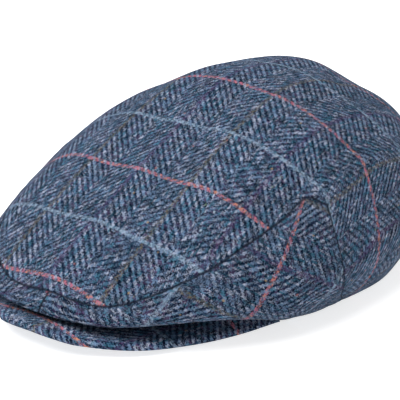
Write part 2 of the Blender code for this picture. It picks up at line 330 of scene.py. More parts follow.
def topHeight(x, y):
    bearing = np.arctan2(x, summitY - y)
    around = np.interp(bearing, planBearing, planTurn)
    down = np.hypot(x, y - summitY) / np.interp(bearing, planBearing, planReach)
    return riseAt(around, np.clip(down, 0.0, 1.0))


middleY = np.linspace(lipFrontY, midline + crown["toBack"], samples["middle"])
middleLength = walked(middleY, topHeight(np.zeros_like(middleY), middleY))
lipTurn = np.linspace(0.0, 180.0, samples["lip"])
lipLength = walked(*lipPoint(lipTurn))


def topChart(x, y):
    steps = np.linspace(0.0, 1.0, samples["across"])
    acrossX = x[:, None] * steps[None, :]
    acrossZ = topHeight(acrossX, y[:, None] + 0.0 * acrossX)
    across = np.hypot(np.diff(acrossX, axis=1), np.diff(acrossZ, axis=1)).sum(axis=1)
    straight = y - chart["bow"] * (x / chart["unit"]) ** 2
    along = np.interp(straight, middleY, middleLength) + np.minimum(straight - lipFrontY, 0.0)
    return np.stack([np.sign(x) * across, along], -1)


def pulled(flat):
    # the cloth is drawn a little askew over the crown
    u, v = flat[:, 0] / chart["unit"], flat[:, 1] / chart["unit"]
    slant, fan, bend = chart["crossPull"]
    inner = np.clip(u, -chart["pullTo"], chart["pullTo"])
    along = flat[:, 1] + slant * inner + fan * inner * v + bend * inner ** 2
    slant, fan, bend = chart["lengthPull"]
    across = flat[:, 0] + slant * v + fan * u * v + bend * u * u
    return np.stack([across, along], -1)


def lipOutward(around):
    # direction away from the crown, square to the lip
    ahead, behind = lipPoint(around + chart["lipStep"]), lipPoint(around - chart["lipStep"])
    runX, runY = ahead[0] - behind[0], ahead[1] - behind[1]
    size = np.hypot(runX, runY)
    return runY / size, -runX / size


def crownChart(around, length, profile):
    # on the top by its own plan place, on the wall by the lip's place and the way down;
    # towards the back, where the top falls steeply, the wall begins above the lip
    turned = eased((foldedAngle(around) - chart["backFrom"]) / chart["backOver"])
    wallFrom = lengthAtLevel(profile, 1.0 - chart["backAbove"] * turned)
    points = alongProfile(profile[0], profile[1], np.minimum(length, wallFrom))
    flat = topChart(points[:, 0], points[:, 1])
    below = np.maximum(length - wallFrom, 0.0)
    outX, outY = lipOutward(around)
    flat[:, 0] += outX * below
    flat[:, 1] += outY * below + chart["wallLean"] * below * (1.0 - outY ** 2)
    return pulled(flat)


def sideChart(around, length, profile):
    along = np.interp(foldedAngle(around), lipTurn, lipLength)
    below = length - lengthAtLevel(profile, np.ones_like(length))
    turn = math.radians(chart["sideTurn"])
    grain = along * math.sin(turn) - below * math.cos(turn)
    cross = along * math.cos(turn) + below * math.sin(turn)
    narrowed, widened = chart["sideStretch"]
    draw, fade = chart["frontDraw"]
    drawn = cross / widened + draw * np.exp(-np.maximum(cross, 0.0) / fade)
    return np.stack([-np.sign(around) * grain / narrowed, drawn], -1)


# meshes

noSeam = 0.05           # seam distance where a piece has no seam, past every band of wear
farAway = 9.0
pointsAtOnce = 2000


def gridFaces(rows, columns, closed):
    i = np.arange(rows - 1)[:, None]
    j = np.arange(columns if closed else columns - 1)[None, :]
    k = (j + 1) % columns
    corners = np.stack([i * columns + j, (i + 1) * columns + j, (i + 1) * columns + k, i * columns + k], -1)
    return corners.reshape(-1, 4).tolist()


def clothObject(name, points, faces, flat, seamFar, material):
    data = bpy.data.meshes.new(name)
    data.from_pydata(points.tolist(), [], faces)
    data.validate()
    data.materials.append(material)
    corners = np.empty(len(data.loops), dtype=np.int32)
    data.loops.foreach_get("vertex_index", corners)
    layer = data.uv_layers.new(name="clothChart")
    layer.data.foreach_set("uv", flat[corners].astype(np.float32).ravel())
    far = data.attributes.new("seamDistance", "FLOAT", "POINT")
    far.data.foreach_set("value", seamFar.astype(np.float32))
    data.shade_smooth()
    return addObject(name, data)


def vertexNormals(points, faces):
    faces = np.array([face if len(face) == 4 else face + face[-1:] for face in faces])
    normal = np.cross(points[faces[:, 2]] - points[faces[:, 0]], points[faces[:, 3]] - points[faces[:, 1]])
    total = np.zeros_like(points)
    for column in range(4):
        np.add.at(total, faces[:, column], normal)
    return total / np.maximum(np.linalg.norm(total, axis=1, keepdims=True), 1e-12)


def distanceTo(points, line):
    # nearest point of a line of points: how far it is and where along the line
    far = np.full(len(points), farAway)
    place = np.zeros(len(points))
    walk = walked(*line.T)
    for start in range(0, len(points), pointsAtOnce):
        some = slice(start, start + pointsAtOnce)
        gap = np.linalg.norm(points[some][:, None, :] - line[None, :, :], axis=2)
        far[some] = gap.min(axis=1)
        place[some] = walk[gap.argmin(axis=1)]
    return far, place


panelWall = {"thickness": 0.0019, "edgeRounding": 0.0003, "edgeAngle": 55.0}


def addThickness(item):
    shell = item.modifiers.new("Thickness", "SOLIDIFY")
    shell.thickness = panelWall["thickness"]
    shell.offset = -1.0
    edge = item.modifiers.new("Turned edge", "BEVEL")
    edge.width = panelWall["edgeRounding"]
    edge.segments = 2
    edge.limit_method = "ANGLE"
    edge.angle_limit = math.radians(panelWall["edgeAngle"])


seam = {
    "overlap": 0.00005,     # the two cloth edges press together at the bottom of the groove
    "rollWidth": 0.0014,
    "rollDepth": 0.0004,
    "puckerDepth": 0.00022,
    "puckerSpacing": 0.0075,
    "puckerReach": 0.009,
    "wander": (2.3, 61.0),  # how far and how often the puckers leave their even spacing
    "uneven": (0.4, 143.0, 1.7),    # how much and how often they grow and fade, and a shift for each seam
}


def seamLines():
    # the top seam from one upright seam to the other, and both upright seams
    turn = np.linspace(-seamTop, seamTop, samples["topSeam"])
    profile = profiles(turn)
    topSeam = clothPoint(profile, seamLength(turn, profile))
    share = np.linspace(0.0, 1.0, samples["uprightSeam"])
    lines = [topSeam]
    for side in (1.0, -1.0):
        around = side * uprightSeam(share)
        profile = profiles(around)
        start = seamLength(around, profile)
        lines.append(clothPoint(profile, start + share * (profile[1][:, -1] - start)))
    return lines


def seamRelief(points, normals, lines, middle):
    # the cloth rolls down into its seams and puckers a little beside them
    allFar = np.full(len(points), farAway)
    pucker = np.zeros(len(points))
    wander, often = seam["wander"]
    uneven, swell, shift = seam["uneven"]
    for index, line in enumerate(lines):
        far, place = distanceTo(points, line)
        wave = np.sin(2.0 * math.pi * place / seam["puckerSpacing"] + wander * np.sin(place * often + index))
        fade = np.exp(-(far / seam["puckerReach"]) ** 2)
        size = 1.0 - uneven + uneven * np.sin(place * swell + shift * index)
        pucker += seam["puckerDepth"] * fade * wave * size
        allFar = np.minimum(allFar, far)
    if middle is not None:
        allFar = np.minimum(allFar, distanceTo(points, middle)[0])
    near = np.clip(1.0 - allFar / seam["rollWidth"], 0.0, 1.0)
    roll = seam["rollDepth"] * (1.0 - np.sqrt(1.0 - near ** 2))
    return points + normals * (pucker - roll)[:, None], allFar


topForm = {
    "frontColumns": 90,     # from the centre front to each upright seam
    "backColumns": 110,     # round the back
    "topRows": 70,
    "evenRows": (0.02, 0.96),       # first and last even row, as shares of the way to the seam
    "edgeRows": [0.968, 0.975, 0.981, 0.986, 0.9905, 0.994, 0.997, 1.0],
    "skirtRows": 30,        # down the back to the rim
    "seamOverlap": 0.02,    # degrees past the upright seams
    "stripeShift": 0.00921,     # where the lengthwise stripes fall, and the first cross stripe
    "firstCross": 0.02073,
    "paintedLightTone": 1.0,
}


def makeTopPanel(form, lines, material):
    half, columnCount = form["frontColumns"], form["backColumns"] + 1
    front = seamTop * np.linspace(-1.0, 1.0, 2 * half + 1)
    back = np.linspace(seamTop, 360.0 - seamTop, columnCount)[1:-1]
    angles = np.concatenate([front, back])
    profile = profiles(angles)
    length = seamLength(angles, profile) + np.where(foldedAngle(angles) <= seamTop, seam["overlap"], 0.0)
    shares = np.concatenate([np.linspace(*form["evenRows"], form["topRows"]), form["edgeRows"]])
    points = [clothPoint(profile, share * length) for share in shares]
    flat = [crownChart(angles, share * length, profile) for share in shares]
    count = len(angles)
    faces = gridFaces(len(shares), count, True)
    # the skirt goes on from the last row, between the upright seams
    previous = [(len(shares) - 1) * count + (2 * half + k) % count for k in range(columnCount)]
    total = len(shares) * count
    for share in np.linspace(0.0, 1.0, form["skirtRows"] + 1)[1:]:
        start = uprightSeam(share)
        around = np.linspace(start, 360.0 - start, columnCount)
        around[0] -= form["seamOverlap"]
        around[-1] += form["seamOverlap"]
        profile = profiles(around)
        begin = seamLength(around, profile)
        target = begin + share * (profile[1][:, -1] - begin)
        points.append(clothPoint(profile, target))
        flat.append(crownChart(around, target, profile))
        row = list(range(total, total + columnCount))
        for k in range(columnCount - 1):
            faces.append([previous[k], row[k], row[k + 1], previous[k + 1]])
        previous = row
        total += columnCount
    points.append(crownPoint(np.zeros(1), np.zeros(1)))
    flat.append(pulled(topChart(np.zeros(1), np.full(1, summitY))))
    points, flat = np.concatenate(points), np.concatenate(flat)
    for j in range(count):
        faces.append([total, j, (j + 1) % count])
    points, far = seamRelief(points, vertexNormals(points, faces), lines, None)
    item = clothObject("tweedTopPanel", points, faces, flat, far, material)
    addThickness(item)
    return item


sideForm = {
    "columns": 130,
    "rows": 34,
    "evenRows": (0.09, 1.0),
    "edgeRows": [0.0, 0.008, 0.018, 0.03, 0.045, 0.065],
    "endTurns": [0.0, 0.25, 0.6],   # fine columns at both ends, in degrees, and where the even ones begin
    "evenFrom": 1.2,
    "seamOverlap": 0.03,
    "stripeShift": 0.0963,
    "firstCross": 0.0833,
    "paintedLightTone": 0.9,            # painted shade: the side panels drawn darker than the same cloth on the top
}


def makeSidePanel(form, name, side, lines, material):
    shares = np.concatenate([form["edgeRows"], np.linspace(*form["evenRows"], form["rows"])])
    ends = np.array(form["endTurns"])
    points, flat = [], []
    for share in shares:
        end = uprightSeam(share)
        even = np.linspace(form["evenFrom"], end - form["evenFrom"], form["columns"])
        around = np.concatenate([ends, even, end - ends[::-1]])
        around[0] -= form["seamOverlap"]
        around[-1] += form["seamOverlap"]
        around *= side
        profile = profiles(around)
        begin = seamLength(around, profile) - seam["overlap"]
        target = begin + share * (profile[1][:, -1] - begin)
        points.append(clothPoint(profile, target))
        flat.append(sideChart(around, target, profile))
    middle = np.stack(points)[:, 0] * np.array([0.0, 1.0, 1.0])
    faces = gridFaces(len(shares), len(points[0]), False)
    if side < 0.0:
        faces = [face[::-1] for face in faces]
    points, flat = np.concatenate(points), np.concatenate(flat)
    points, far = seamRelief(points, vertexNormals(points, faces), lines, middle)
    item = clothObject(name, points, faces, flat, far, material)
    addThickness(item)
    return item


# way round to the corner, then shares of half the width, the depth, the arch and the board
peakEdge = np.array([
    (0.0, 0.0, 0.0, 1.0, 1.0),
    (0.1, 0.189, 0.011, 0.91, 1.0),
    (0.2, 0.36, 0.064, 0.65, 1.0),
    (0.4, 0.652, 0.235, 0.357, 1.0),
    (0.6, 0.833, 0.479, 0.146, 0.9),
    (0.8, 0.936, 0.73, 0.02, 0.62),
    (1.0, 1.0, 1.0, 0.0, 0.18),
])

peakForm = {
    "width": 0.1504,
    "depth": 0.1038,
    "arch": 0.0086,
    "thickness": 0.0042,
    "seamGap": 0.0004,
    "cornerAround": 67.0,   # how far round the crown its corners are
    "slant": 0.14,          # its cloth lies a little askew
    "columns": 161,
    "rows": 22,
    "roundRows": 9,
    "roundTo": 80.0,        # degrees up and down where the round edge begins
    "edgeRound": 0.92,
    "stripeShift": -0.0606,
    "firstCross": -0.1247,
    # painted light: the peak's cloth drawn lighter to make up for the shade under the crown's lip
    "paintedLightTone": 1.15,
}


def makePeak(form, material):
    # one section for each place along the edge: over the top, round the edge and back below
    turns = np.linspace(-1.0, 1.0, form["columns"])
    across, back, lift, board = [smoothValue(peakEdge, column, np.abs(turns), False)
                                 for column in range(1, peakEdge.shape[1])]
    around = turns * form["cornerAround"]
    rimX, rimY = rimPoint(around)
    rimZ = np.maximum(rimHeight(around) - form["seamGap"] - form["thickness"] * board, 0.0)
    inner = np.stack([rimX, rimY, rimZ], -1)
    outer = np.stack([
        np.sign(turns) * 0.5 * form["width"] * across,
        peakTipY + form["depth"] * back,
        np.maximum(form["arch"] * lift, 0.0)], -1)
    run = outer - inner
    size = np.linalg.norm(run, axis=1, keepdims=True)
    outward = run / size
    up = np.array([0.0, 0.0, 1.0])
    board = form["thickness"] * board[:, None]
    radius = 0.5 * board * form["edgeRound"]
    straight = size - radius
    rows = []
    for share in np.linspace(0.0, 1.0, form["rows"]):
        rows.append(inner + outward * straight * share + up * board)
    for angle in np.radians(np.linspace(form["roundTo"], -form["roundTo"], form["roundRows"])):
        level = 0.5 * board + np.sign(angle) * 0.5 * (board - 2.0 * radius)
        reach = straight + radius * math.cos(angle)
        rows.append(inner + outward * reach + up * (level + radius * math.sin(angle)))
    for share in np.linspace(1.0, 0.0, form["rows"]):
        rows.append(inner + outward * straight * share)
    points = np.stack(rows)
    count = len(turns)
    faces = [face[::-1] for face in gridFaces(len(rows), count, False)]
    last = (len(rows) - 1) * count
    for j in range(count - 1):
        faces.append([j, last + j, last + j + 1, j + 1])
    start = [i * count for i in range(len(rows))]
    faces.append(start)
    faces.append([i + count - 1 for i in start][::-1])
    # the cloth is wrapped from the seam over the edge
    steps = np.linalg.norm(np.diff(points, axis=0), axis=2)
    down = np.concatenate([np.zeros((1, count)), np.cumsum(steps, axis=0)])
    flat = points[:1, :, :2] + outward[None, :, :2] * down[:, :, None]
    slant = form["slant"]
    flat = np.stack([flat[..., 0] - slant * flat[..., 1], flat[..., 1] + slant * flat[..., 0]], -1)
    seamFar = np.full(len(rows) * count, noSeam)
    return clothObject("tweedPeak", points.reshape(-1, 3), faces, flat.reshape(-1, 2), seamFar, material)


# materials

def nodeGroup(name, inputs, outputs):
    # an input is given as its starting number, or as the name of its kind
    tree = bpy.data.node_groups.new(name, "ShaderNodeTree")
    for socketName, value in inputs.items():
        kind = value if isinstance(value, str) else "Float"
        socket = tree.interface.new_socket(socketName, in_out="INPUT", socket_type="NodeSocket" + kind)
        if kind == "Float":
            socket.default_value = value
    for socketName, kind in outputs.items():
        tree.interface.new_socket(socketName, in_out="OUTPUT", socket_type="NodeSocket" + kind)
    source = tree.nodes.new("NodeGroupInput")
    target = tree.nodes.new("NodeGroupOutput")
    return tree, source.outputs, target.inputs


def put(tree, value, socket):
    if hasattr(value, "links"):
        tree.links.new(value, socket)
    else:
        socket.default_value = value


def putAll(tree, values, sockets):
    for name, value in values.items():
        put(tree, value, sockets[name])


def calc(tree, operation, a, b=0.0, c=0.0):
    node = tree.nodes.new("ShaderNodeMath")
    node.operation = operation
    for socket, value in zip(node.inputs, (a, b, c)):
        put(tree, value, socket)
    return node.outputs[0]


def add(tree, a, b):
    return calc(tree, "ADD", a, b)


def minus(tree, a, b):
    return calc(tree, "SUBTRACT", a, b)


def times(tree, a, b):
    return calc(tree, "MULTIPLY", a, b)


def choose(tree, pick, whenOff, whenOn):
    # one of two values, by a mask of 0 or 1
    return add(tree, times(tree, pick, whenOn), times(tree, minus(tree, 1.0, pick), whenOff))


def mixColour(tree, amount, a, b, blend="MIX"):
    node = tree.nodes.new("ShaderNodeMix")
    node.data_type = "RGBA"
    node.blend_type = blend
    put(tree, amount, node.inputs[0])
    put(tree, a, node.inputs[6])
    put(tree, b, node.inputs[7])
    return node.outputs[2]


def mixValue(tree, amount, a, b):
    node = tree.nodes.new("ShaderNodeMix")
    put(tree, amount, node.inputs[0])
    put(tree, a, node.inputs[2])
    put(tree, b, node.inputs[3])
    return node.outputs[0]


def remap(tree, value, low, high, toLow=0.0, toHigh=1.0):
    node = tree.nodes.new("ShaderNodeMapRange")
    node.interpolation_type = "SMOOTHSTEP"
    for index, item in enumerate((value, low, high, toLow, toHigh)):
        put(tree, item, node.inputs[index])
    return node.outputs[0]


def noise(tree, place, scale, detail, rough=0.5):
    node = tree.nodes.new("ShaderNodeTexNoise")
    put(tree, place, node.inputs["Vector"])
    node.inputs["Scale"].default_value = scale
    node.inputs["Detail"].default_value = detail
    node.inputs["Roughness"].default_value = rough
    return node.outputs["Fac"]


def combine(tree, x, y, z=0.0):
    node = tree.nodes.new("ShaderNodeCombineXYZ")
    for socket, value in zip(node.inputs, (x, y, z)):
        put(tree, value, socket)
    return node.outputs[0]


def splitUp(tree, kind, value):
    node = tree.nodes.new("ShaderNodeSeparate" + kind)
    put(tree, value, node.inputs[0])
    return node.outputs


# seed, scale to one thread, detail, roughness, and how much finer across and along the cloth
clothNoises = {
    "streak": (3.0, 1.0, 3.0, 0.65, 1.6, 0.7),
    "crossStreak": (8.0, 1.0, 3.0, 0.65, 0.7, 1.6),
    "fuzz": (5.0, 0.95, 4.0, 0.7, 1.0, 1.0),
    "mottle": (9.0, 0.22, 3.0, 0.6, 1.0, 1.0),
    "grain": (17.0, 1.9, 2.0, 0.6, 1.0, 1.0),
    "cloud": (2.0, 0.035, 3.0, 0.55, 1.0, 1.0),
    "fibre": (4.0, 1.0, 4.0, 0.7, 2.2, 2.2),
    "stripeFuzz": (14.0, 1.1, 3.0, 0.65, 1.0, 1.0),
    "slub": (21.0, 0.45, 2.0, 0.6, 1.0, 1.0),
}


def clothNoise(tree, across, along, kind):
    seed, scale, detail, rough, acrossScale, alongScale = clothNoises[kind]
    place = combine(tree, times(tree, across, acrossScale), times(tree, along, alongScale), seed)
    return noise(tree, place, scale, detail, rough)


weaveForm = {
    "warpApart": 0.03702,   # metres between two lengthwise stripes, and threads
    "warpThreads": 32.0,
    "weftApart": 0.03717,   # the same of two cross stripes
    "weftThreads": 36.0,
    "column": 16.0,         # threads in one column of the herringbone
    "repeat": 4.0,          # two threads over, two under
    "warpOnTop": 0.49,      # share of the repeat, a little under half to be clear of its end
    "warpRise": 0.25,       # how far the lengthwise threads stand above the others
    "wander": 0.0009,       # metres that the threads leave their straight lines
    "wanderScales": (330.0, 310.0),
    "wanderDetail": 3.0,
    "wanderShift": 0.37,
    "waleShift": -1.5,
    "numberStep": 31.0,     # keeps the yarn shades of neighbouring columns apart
}
warpPitch = weaveForm["warpApart"] / weaveForm["warpThreads"]
weftPitch = weaveForm["weftApart"] / weaveForm["weftThreads"]


def makeWeaveGroup(form):
    # a two-and-two twill whose slope turns at each column, thread by thread
    tree, source, target = nodeGroup(
        "herringboneWeave",
        {"Chart": "Vector", "Warp Pitch": warpPitch, "Weft Pitch": weftPitch,
         "Column": form["column"], "Wander": form["wander"]},
        {"Warp": "Float", "Height": "Float", "Wale": "Float", "Across": "Float", "Along": "Float",
         "Float Number": "Float"})
    column = source["Column"]
    doubled = times(tree, column, 2.0)

    def wandering(value, noisePlace, scale, pitch):
        sway = minus(tree, noise(tree, noisePlace, scale, form["wanderDetail"]), 0.5)
        return calc(tree, "DIVIDE", add(tree, value, times(tree, sway, source["Wander"])), source[pitch])

    def climbOf(place, turned):
        # threads to climb: up one column, down the next
        mirrored = minus(tree, add(tree, doubled, 1.0), place)
        return choose(tree, turned, place, mirrored)

    chartX, chartY = splitUp(tree, "XYZ", source["Chart"])[:2]
    beside = combine(tree, add(tree, chartX, form["wanderShift"]), chartY)
    x = wandering(chartX, source["Chart"], form["wanderScales"][0], "Warp Pitch")
    y = wandering(chartY, beside, form["wanderScales"][1], "Weft Pitch")
    i, j = calc(tree, "FLOOR", x), calc(tree, "FLOOR", y)
    place = calc(tree, "FLOORED_MODULO", i, doubled)
    climb = climbOf(place, calc(tree, "GREATER_THAN", place, minus(tree, column, 0.5)))
    turns = calc(tree, "DIVIDE", add(tree, j, climb), form["repeat"])
    columnNumber = calc(tree, "FLOOR", calc(tree, "DIVIDE", i, column))
    number = add(tree, calc(tree, "FLOOR", turns), times(tree, columnNumber, form["numberStep"]))
    warp = calc(tree, "LESS_THAN", calc(tree, "FRACT", turns), form["warpOnTop"])
    roundX, roundY = [calc(tree, "SINE", times(tree, calc(tree, "FRACT", value), math.pi))
                      for value in (x, y)]
    height = choose(tree, warp, roundY, add(tree, roundX, form["warpRise"]))
    # the slow wave of the wales under the threads
    softPlace = calc(tree, "FLOORED_MODULO", x, doubled)
    softClimb = climbOf(softPlace, calc(tree, "GREATER_THAN", softPlace, column))
    phase = times(tree, add(tree, add(tree, y, softClimb), form["waleShift"]), 2.0 * math.pi / form["repeat"])
    wale = calc(tree, "MULTIPLY_ADD", calc(tree, "COSINE", phase), 0.5, 0.5)
    putAll(tree, {"Warp": warp, "Height": height, "Wale": wale, "Across": x, "Along": y,
                  "Float Number": number}, target)
    return tree


stripeForm = {
    "warpWidth": 2.4,       # threads
    "weftWidth": 2.1,
    "edge": 0.25,
    "strengths": (0.92, 0.8),       # of the two cross stripes
    "warpShows": (0.2, 0.75),       # where the other threads lie on top, and where its own do
    "weftShows": (1.0, 0.25),       # the other way round
    "warpFuzz": (0.36, 0.6, 0.2, 0.95),     # band of the noise, and how much stripe it leaves
    "weftFuzz": (0.38, 0.58, 0.1, 1.0),
    "slubBand": (0.47, 0.6),
}


def makeCheckGroup(form):
    # coloured threads: two alternating colours along the cloth and two across it
    tree, source, target = nodeGroup(
        "overcheckThreads",
        {"Across": 0.0, "Along": 0.0, "Warp": 0.0, "Warp Start": 0.0, "Weft Start": 0.0,
         "Warp Spacing": weaveForm["warpThreads"], "Weft Spacing": weaveForm["weftThreads"],
         "Warp Width": form["warpWidth"], "Weft Width": form["weftWidth"],
         "First Warp": "Color", "Second Warp": "Color",
         "First Weft": "Color", "First Slub": "Color", "Second Weft": "Color",
         "First Strength": form["strengths"][0], "Second Strength": form["strengths"][1]},
        {"Color": "Color", "Mask": "Float"})
    across, along = source["Across"], source["Along"]

    def line(place, kind):
        width, spacing = source[kind + " Width"], source[kind + " Spacing"]
        inside = add(tree, minus(tree, place, source[kind + " Start"]), times(tree, width, 0.5))
        inner = calc(tree, "FLOORED_MODULO", inside, spacing)
        mask = remap(tree, inner, add(tree, width, form["edge"]), minus(tree, width, form["edge"]))
        cell = calc(tree, "FLOOR", calc(tree, "DIVIDE", inside, spacing))
        return mask, calc(tree, "FLOORED_MODULO", cell, 2.0)

    warpMask, warpOdd = line(across, "Warp")
    weftMask, weftOdd = line(along, "Weft")
    warpColour = mixColour(tree, warpOdd, source["First Warp"], source["Second Warp"])
    slub = remap(tree, clothNoise(tree, across, along, "slub"), *form["slubBand"])
    firstWeft = mixColour(tree, slub, source["First Weft"], source["First Slub"])
    weftColour = mixColour(tree, weftOdd, firstWeft, source["Second Weft"])
    fuzz = clothNoise(tree, across, along, "stripeFuzz")
    warpShows = times(tree, warpMask, remap(tree, source["Warp"], 0.0, 1.0, *form["warpShows"]))
    weftShows = times(tree, weftMask, remap(tree, source["Warp"], 0.0, 1.0, *form["weftShows"]))
    strength = mixValue(tree, weftOdd, source["First Strength"], source["Second Strength"])
    warpShows = times(tree, warpShows, remap(tree, fuzz, *form["warpFuzz"]))
    weftShows = times(tree, times(tree, weftShows, strength), remap(tree, fuzz, *form["weftFuzz"]))
    put(tree, mixColour(tree, weftMask, warpColour, weftColour), target["Color"])
    put(tree, calc(tree, "MAXIMUM", warpShows, weftShows), target["Mask"])
    return tree


yarnForm = {
    "seeds": (3.0, 11.0),
    "paleFrom": (0.45, 1.2, 0.72, 1.1),     # share of the thread's shade, share of its streaks, band
    "tealBand": (0.62, 0.95),
    "darkFrom": (0.6, 0.9, 0.5, 1.05),
    "plumBand": (0.7, 1.0),
    "evenBand": (0.35, 0.6, 0.5, 1.0),      # where blotches hide the weave
    "weave": (0.4, 0.65, 0.55),     # shares of the threads and of the wales, and their middle
    "fuzz": (2.4, -0.75),           # how much fuzz, grain and blotches blur the yarns
    "grain": (4.6, -2.3),
    "blotch": (1.0, -0.5),
    "topBand": (0.08, 0.9),
    "darkest": 0.15,
}


def makeYarnGroup(form):
    # wool spun from several shades: each float of yarn has its own, with streaks, blotches and slow clouds
    tree, source, target = nodeGroup(
        "heatheredYarn",
        {"Across": 0.0, "Along": 0.0, "Warp": 0.0, "Wale": 0.0, "Float Number": 0.0,
         "Light Yarn": "Color", "Pale Yarn": "Color", "Teal Yarn": "Color",
         "Dark Yarn": "Color", "Blue Black": "Color", "Plum Yarn": "Color", "Mottle": 0.5, "Cloud": 0.2},
        {"Color": "Color", "Fibre": "Float"})
    across, along = source["Across"], source["Along"]

    def spun(place, seed, streakKind, mix, first, second, third, thirdBand):
        # two shades of one set of threads, streaked, and now and then a third
        node = tree.nodes.new("ShaderNodeTexWhiteNoise")
        thread = calc(tree, "FLOOR", place)
        put(tree, combine(tree, thread, source["Float Number"], seed), node.inputs["Vector"])
        shade = splitUp(tree, "Color", node.outputs["Color"])
        streak = clothNoise(tree, across, along, streakKind)
        ownShare, streakShare, low, high = mix
        mixed = add(tree, times(tree, shade[0], ownShare), times(tree, streak, streakShare))
        colour = mixColour(tree, remap(tree, mixed, low, high), source[first], source[second])
        return mixColour(tree, remap(tree, shade[1], *thirdBand), colour, source[third])

    warpSeed, weftSeed = form["seeds"]
    light = spun(across, warpSeed, "streak", form["paleFrom"],
                 "Light Yarn", "Pale Yarn", "Teal Yarn", form["tealBand"])
    dark = spun(along, weftSeed, "crossStreak", form["darkFrom"],
                "Blue Black", "Dark Yarn", "Plum Yarn", form["plumBand"])
    # fuzz blurs the edge between one yarn and the next
    fuzz, mottle, grain, cloud = [clothNoise(tree, across, along, kind)
                                  for kind in ("fuzz", "mottle", "grain", "cloud")]
    threadShare, waleShare, middle = form["weave"]
    wave = add(tree, times(tree, source["Warp"], threadShare), times(tree, source["Wale"], waleShare))
    top = times(tree, minus(tree, wave, middle), remap(tree, mottle, *form["evenBand"]))
    for value, kind in ((fuzz, "fuzz"), (grain, "grain"), (mottle, "blotch")):
        top = add(tree, top, calc(tree, "MULTIPLY_ADD", value, *form[kind]))
    colour = mixColour(tree, remap(tree, top, *form["topBand"]), dark, light)
    shade = 1.0
    for value, kind in ((cloud, "Cloud"), (mottle, "Mottle")):
        shade = add(tree, shade, times(tree, minus(tree, value, 0.5), source[kind]))
    shade = calc(tree, "MAXIMUM", shade, form["darkest"])
    put(tree, mixColour(tree, 1.0, colour, combine(tree, shade, shade, shade), "MULTIPLY"), target["Color"])
    put(tree, clothNoise(tree, across, along, "fibre"), target["Fibre"])
    return tree


fleckForm = {
    "amount": 0.32,
    "cells": (0.34, 0.26),  # to one thread, across and along
    "chosen": 0.3,          # share of the cells that hold a nub at full amount
    "sizeBand": (0.26, 0.1),
    "cover": 0.75,
    "shades": [
        (0.0, (0.3, 0.2, 0.09, 1.0)),
        (0.2, (0.23, 0.33, 0.42, 1.0)),
        (0.42, (0.16, 0.09, 0.19, 1.0)),
        (0.6, (0.34, 0.42, 0.5, 1.0)),
        (0.78, (0.3, 0.12, 0.12, 1.0)),
        (0.9, (0.13, 0.2, 0.14, 1.0)),
    ],
}


def makeFleckGroup(form):
    # small nubs of other colours caught in the yarn
    tree, source, target = nodeGroup(
        "woolFlecks",
        {"Color": "Color", "Across": 0.0, "Along": 0.0, "Amount": form["amount"]},
        {"Color": "Color"})
    cells = tree.nodes.new("ShaderNodeTexVoronoi")
    cells.inputs["Scale"].default_value = 1.0
    x, y = [times(tree, source[name], scale) for name, scale in zip(("Across", "Along"), form["cells"])]
    put(tree, combine(tree, x, y), cells.inputs["Vector"])
    spread = splitUp(tree, "Color", cells.outputs["Color"])
    chosen = calc(tree, "LESS_THAN", spread[0], times(tree, source["Amount"], form["chosen"]))
    mask = times(tree, chosen, remap(tree, cells.outputs["Distance"], *form["sizeBand"]))
    ramp = tree.nodes.new("ShaderNodeValToRGB")
    ramp.color_ramp.interpolation = "CONSTANT"
    while len(ramp.color_ramp.elements) < len(form["shades"]):
        ramp.color_ramp.elements.new(0.5)
    for element, (position, shade) in zip(ramp.color_ramp.elements, form["shades"]):
        element.position = position
        element.color = shade
    put(tree, spread[1], ramp.inputs[0])
    covered = mixColour(tree, times(tree, mask, form["cover"]), source["Color"], ramp.outputs[0])
    put(tree, covered, target["Color"])
    return tree


wearAndShadeForm = {
    "rub": 0.1,
    # how dark the painted shade down in a seam's groove is
    "depth": 0.85,
    "groove": (0.0011, 0.0002),     # metres from the seam, where the painted shade in the groove begins and where it is darkest
    "edge": (0.0012, 0.0026, 0.006),
    "rubbed": (0.14, 0.17, 0.23, 1.0),
    "shadow": (0.008, 0.01, 0.018, 1.0),
}


def makeWearAndShadeGroup(form):
    # dust and rubbed wool: paler on raised edges beside a seam; painted shade darker down in it
    tree, source, target = nodeGroup(
        "seamWearAndShade",
        {"Color": "Color", "Seam Distance": noSeam, "Rub": form["rub"], "Depth": form["depth"]},
        {"Color": "Color"})
    far = source["Seam Distance"]
    begins, highest, ends = form["edge"]
    onEdge = times(tree, remap(tree, far, begins, highest), remap(tree, far, ends, highest))
    rubbed = mixColour(tree, times(tree, onEdge, source["Rub"]), source["Color"], form["rubbed"])
    # painted shade: the groove's bottom darkened towards the shadow colour
    paintedGrooveShade = times(tree, remap(tree, far, *form["groove"]), source["Depth"])
    put(tree, mixColour(tree, paintedGrooveShade, rubbed, form["shadow"]), target["Color"])
    return tree


groups = {
    "weave": makeWeaveGroup(weaveForm),
    "check": makeCheckGroup(stripeForm),
    "yarn": makeYarnGroup(yarnForm),
    "fleck": makeFleckGroup(fleckForm),
    "wearAndShade": makeWearAndShadeGroup(wearAndShadeForm),
}

